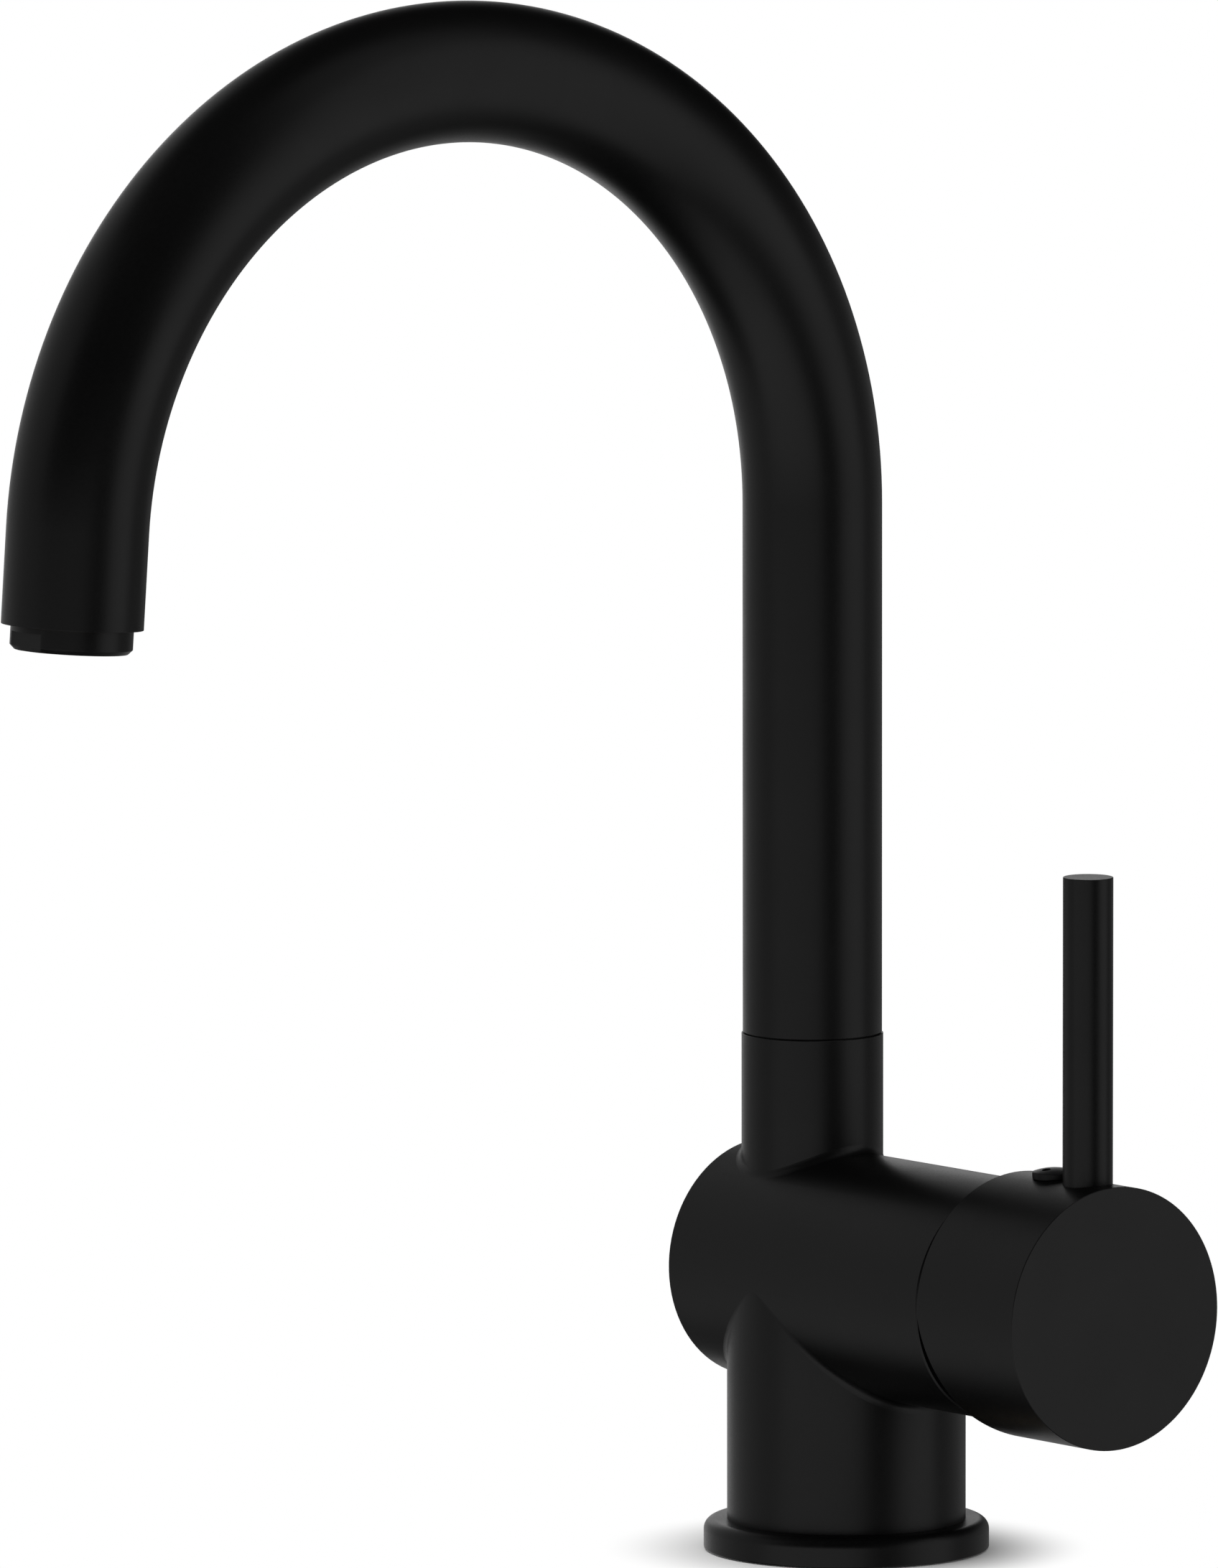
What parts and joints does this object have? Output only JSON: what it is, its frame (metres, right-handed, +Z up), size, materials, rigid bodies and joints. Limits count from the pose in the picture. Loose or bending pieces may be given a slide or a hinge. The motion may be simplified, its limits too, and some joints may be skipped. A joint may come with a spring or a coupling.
{
  "type": "kitchen faucet",
  "caption": "High-arc kitchen faucet: a bent tube spout swivels on a round barrel body, and a knob on its side with an upright lever sets flow and temperature.",
  "frame": {"origin": "centre of the round foot, on the deck", "axes": "+Z up out of the deck, the spout reaches towards -Y, the knob and lever stand out along +X"},
  "size_m": [0.114, 0.227, 0.3779],
  "materials": {
    "black_finish": "matte black coating on brass",
    "black_trim": "matte black",
    "brass": "turned",
    "steel": "zinc plated or stainless",
    "rubber": "black moulded",
    "cartridge_plastic": "moulded, light grey",
    "ceramic": "lapped ceramic"
  },
  "bodies": {
    "root": {"body_casting": "black_finish", "base_ring": "black_finish", "base_seal": "rubber", "fixing_stud": "steel", "clamp_gasket": "rubber", "clamp_washer": "steel", "clamp_nut": "brass", "cartridge_base": "cartridge_plastic", "cartridge_seals": "rubber", "cartridge_housing": "cartridge_plastic", "fixed_disc": "ceramic", "cartridge_nut": "brass", "trim_ring": "black_trim", "spout_stop_screw": "steel"},
    "spout": {"spout_tube": "black_finish", "spout_tail": "brass", "spout_o_rings": "rubber", "upper_slide_ring": "black_trim", "lower_slide_ring": "black_trim", "outlet_bush": "brass", "aerator_housing": "black_finish", "aerator_insert": "cartridge_plastic", "aerator_screen": "steel", "aerator_washer": "rubber"},
    "rotor": {"cartridge_rotor": "cartridge_plastic", "rotor_o_ring": "rubber", "lever_pin": "steel"},
    "handle": {"spindle": "brass", "handle_knob": "black_finish", "lever_rod": "black_finish", "grub_screw": "steel", "index_button": "black_trim"},
    "disc": {"disc_carrier": "cartridge_plastic", "moving_disc": "ceramic"}
  },
  "joints": [
    {"name": "spout_swivel", "type": "hinge", "parent": "root", "child": "spout", "pos_m": [-0.011, 0, 0.0867], "axis": [0, 0, 1], "continuous": true},
    {"name": "temperature_turn", "type": "hinge", "parent": "root", "child": "rotor", "pos_m": [0.046, 0, 0.056], "axis": [1, 0, 0], "range_deg": [-50, 50]},
    {"name": "lever_lift", "type": "hinge", "parent": "rotor", "child": "handle", "pos_m": [0.046, 0, 0.056], "axis": [0, 1, 0], "range_deg": [0, 20]},
    {"name": "disc_slide", "type": "slide", "parent": "rotor", "child": "disc", "axis": [0, 0, 1], "range_m": [0, 0.0031]}
  ],
  "couplings": [
    {"joint": "disc_slide", "follows": "lever_lift", "m_per_rad": 0.008818}
  ]
}
